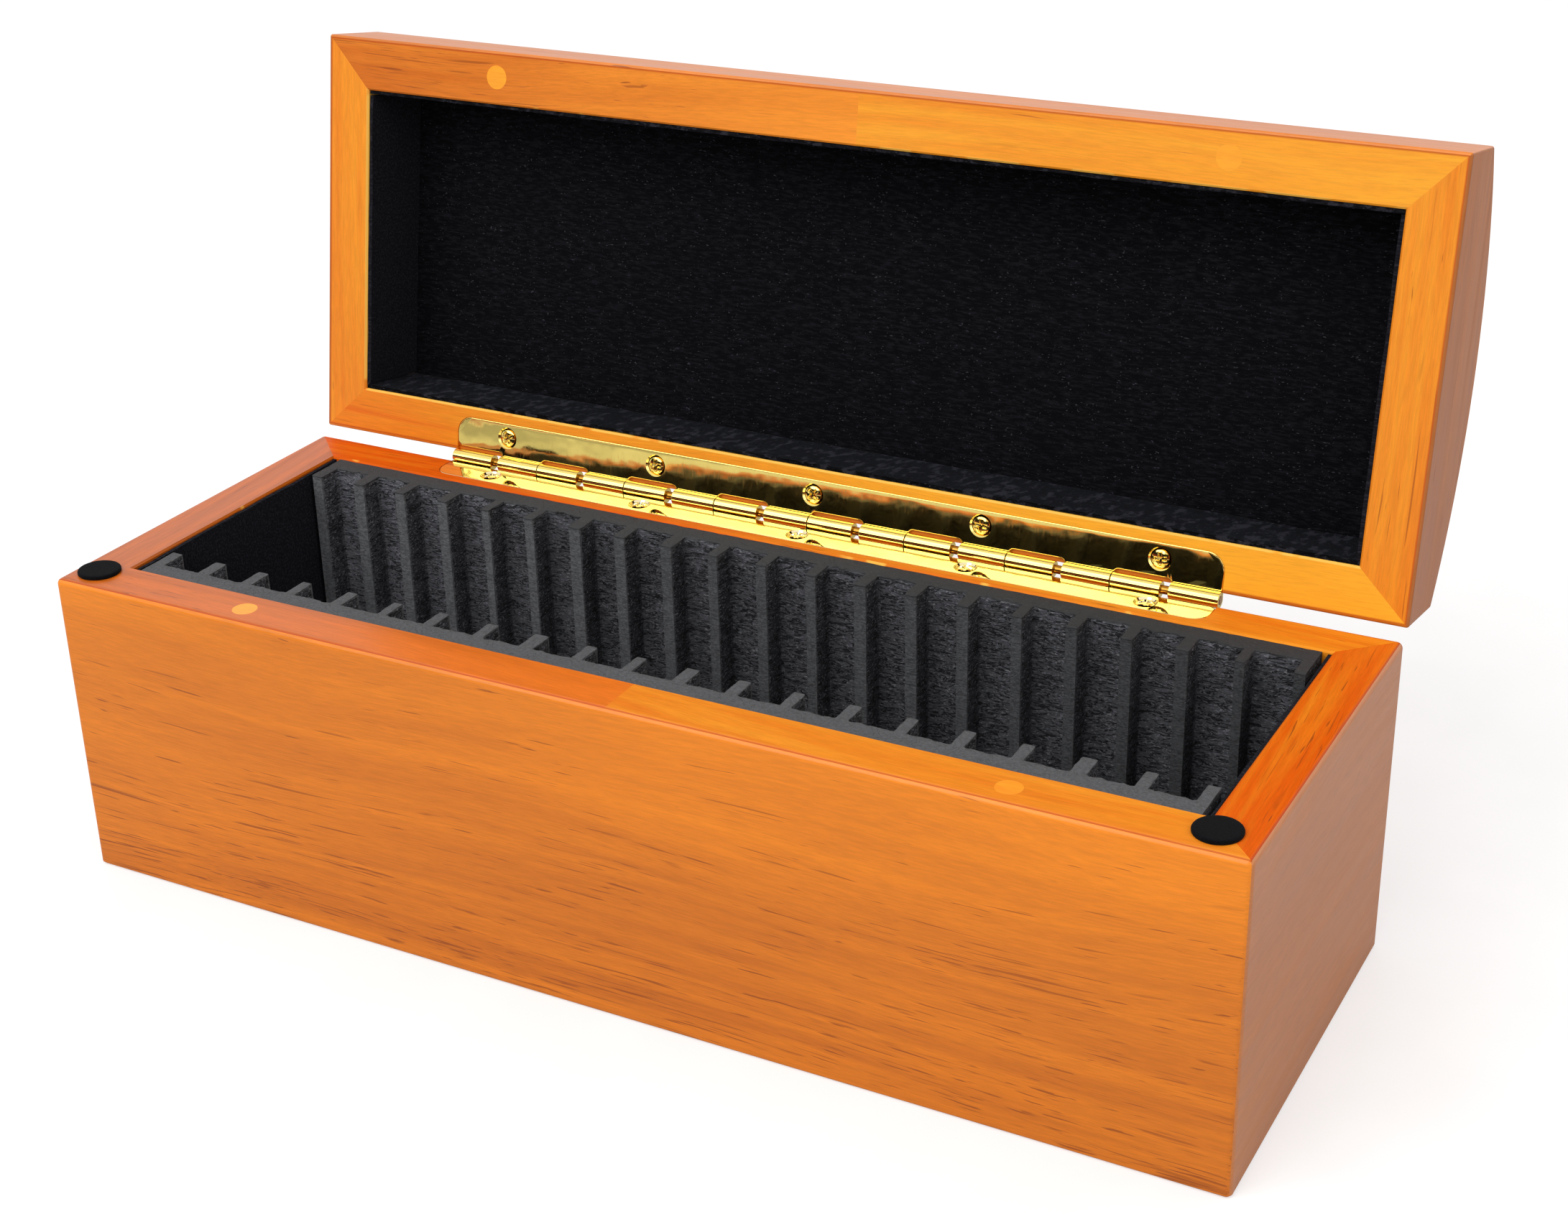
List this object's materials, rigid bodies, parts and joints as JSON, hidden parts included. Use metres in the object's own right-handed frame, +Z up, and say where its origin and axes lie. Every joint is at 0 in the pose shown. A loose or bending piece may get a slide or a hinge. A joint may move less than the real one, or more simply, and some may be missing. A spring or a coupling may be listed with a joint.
{
  "type": "coin slab display box",
  "caption": "Wooden box with a crowned, hinged lid, lined in velvet, with foam combs that hold coin slabs upright in a row.",
  "frame": {"origin": "middle of the body's underside, on the surface that the box stands on", "axes": "+X along the box to the right, +Y from the front to the hinge, +Z up; the lid is open at its stop"},
  "size_m": [0.272, 0.1371, 0.168],
  "materials": {
    "board_darker": "orange-brown stained hardwood, satin lacquer",
    "board_lighter": "honey-orange stained hardwood, satin lacquer",
    "end_board": "honey-orange stained hardwood, satin lacquer",
    "long_veneer": "honey-orange stained veneer with dark pores, satin lacquer",
    "end_veneer": "honey-orange stained veneer, satin lacquer",
    "panel_board": "plain board",
    "plug_wood": "light wood plug, lacquered",
    "black_felt": "black felt",
    "black_velvet": "black velvet card",
    "black_foam": "charcoal closed-cell foam, rough in the slots",
    "gold_plate": "gold plate, mirror polished",
    "magnet": "nickel-plated disc magnet"
  },
  "bodies": {
    "box": {"front_wall_left_board": "board_darker", "front_wall_right_board": "board_lighter", "rear_wall": "board_lighter", "left_end_wall": "end_board", "right_end_wall": "end_board", "front_veneer": "long_veneer", "rear_veneer": "long_veneer", "left_end_veneer": "end_veneer", "right_end_veneer": "end_veneer", "base_panel": "panel_board", "base_felt": "black_felt", "floor_lining": "black_velvet", "left_end_lining": "black_velvet", "right_end_lining": "black_velvet", "foam_comb_front": "black_foam", "foam_comb_rear": "black_foam", "corner_pads": "black_felt", "box_magnets": "magnet", "box_magnet_plugs": "plug_wood", "hinge_box_leaf": "gold_plate", "hinge_box_screws": "gold_plate", "hinge_pin": "gold_plate"},
    "lid": {"lid_front_rail_left_board": "board_darker", "lid_front_rail_right_board": "board_lighter", "lid_rear_rail": "board_lighter", "lid_left_rail": "end_board", "lid_right_rail": "end_board", "lid_top_panel": "panel_board", "lid_front_veneer": "long_veneer", "lid_rear_veneer": "long_veneer", "lid_left_veneer": "end_veneer", "lid_right_veneer": "end_veneer", "lid_top_veneer": "long_veneer", "lid_top_lining": "black_velvet", "lid_front_lining": "black_velvet", "lid_rear_lining": "black_velvet", "lid_left_lining": "black_velvet", "lid_right_lining": "black_velvet", "lid_magnets": "magnet", "lid_magnet_plugs": "plug_wood", "hinge_lid_leaf": "gold_plate", "hinge_lid_screws": "gold_plate"}
  },
  "joints": [
    {"name": "lid_hinge", "type": "hinge", "parent": "box", "child": "lid", "pos_m": [0, 0.04905, 0.07285], "axis": [1, 0, 0], "range_deg": [0, 99.7]}
  ]
}
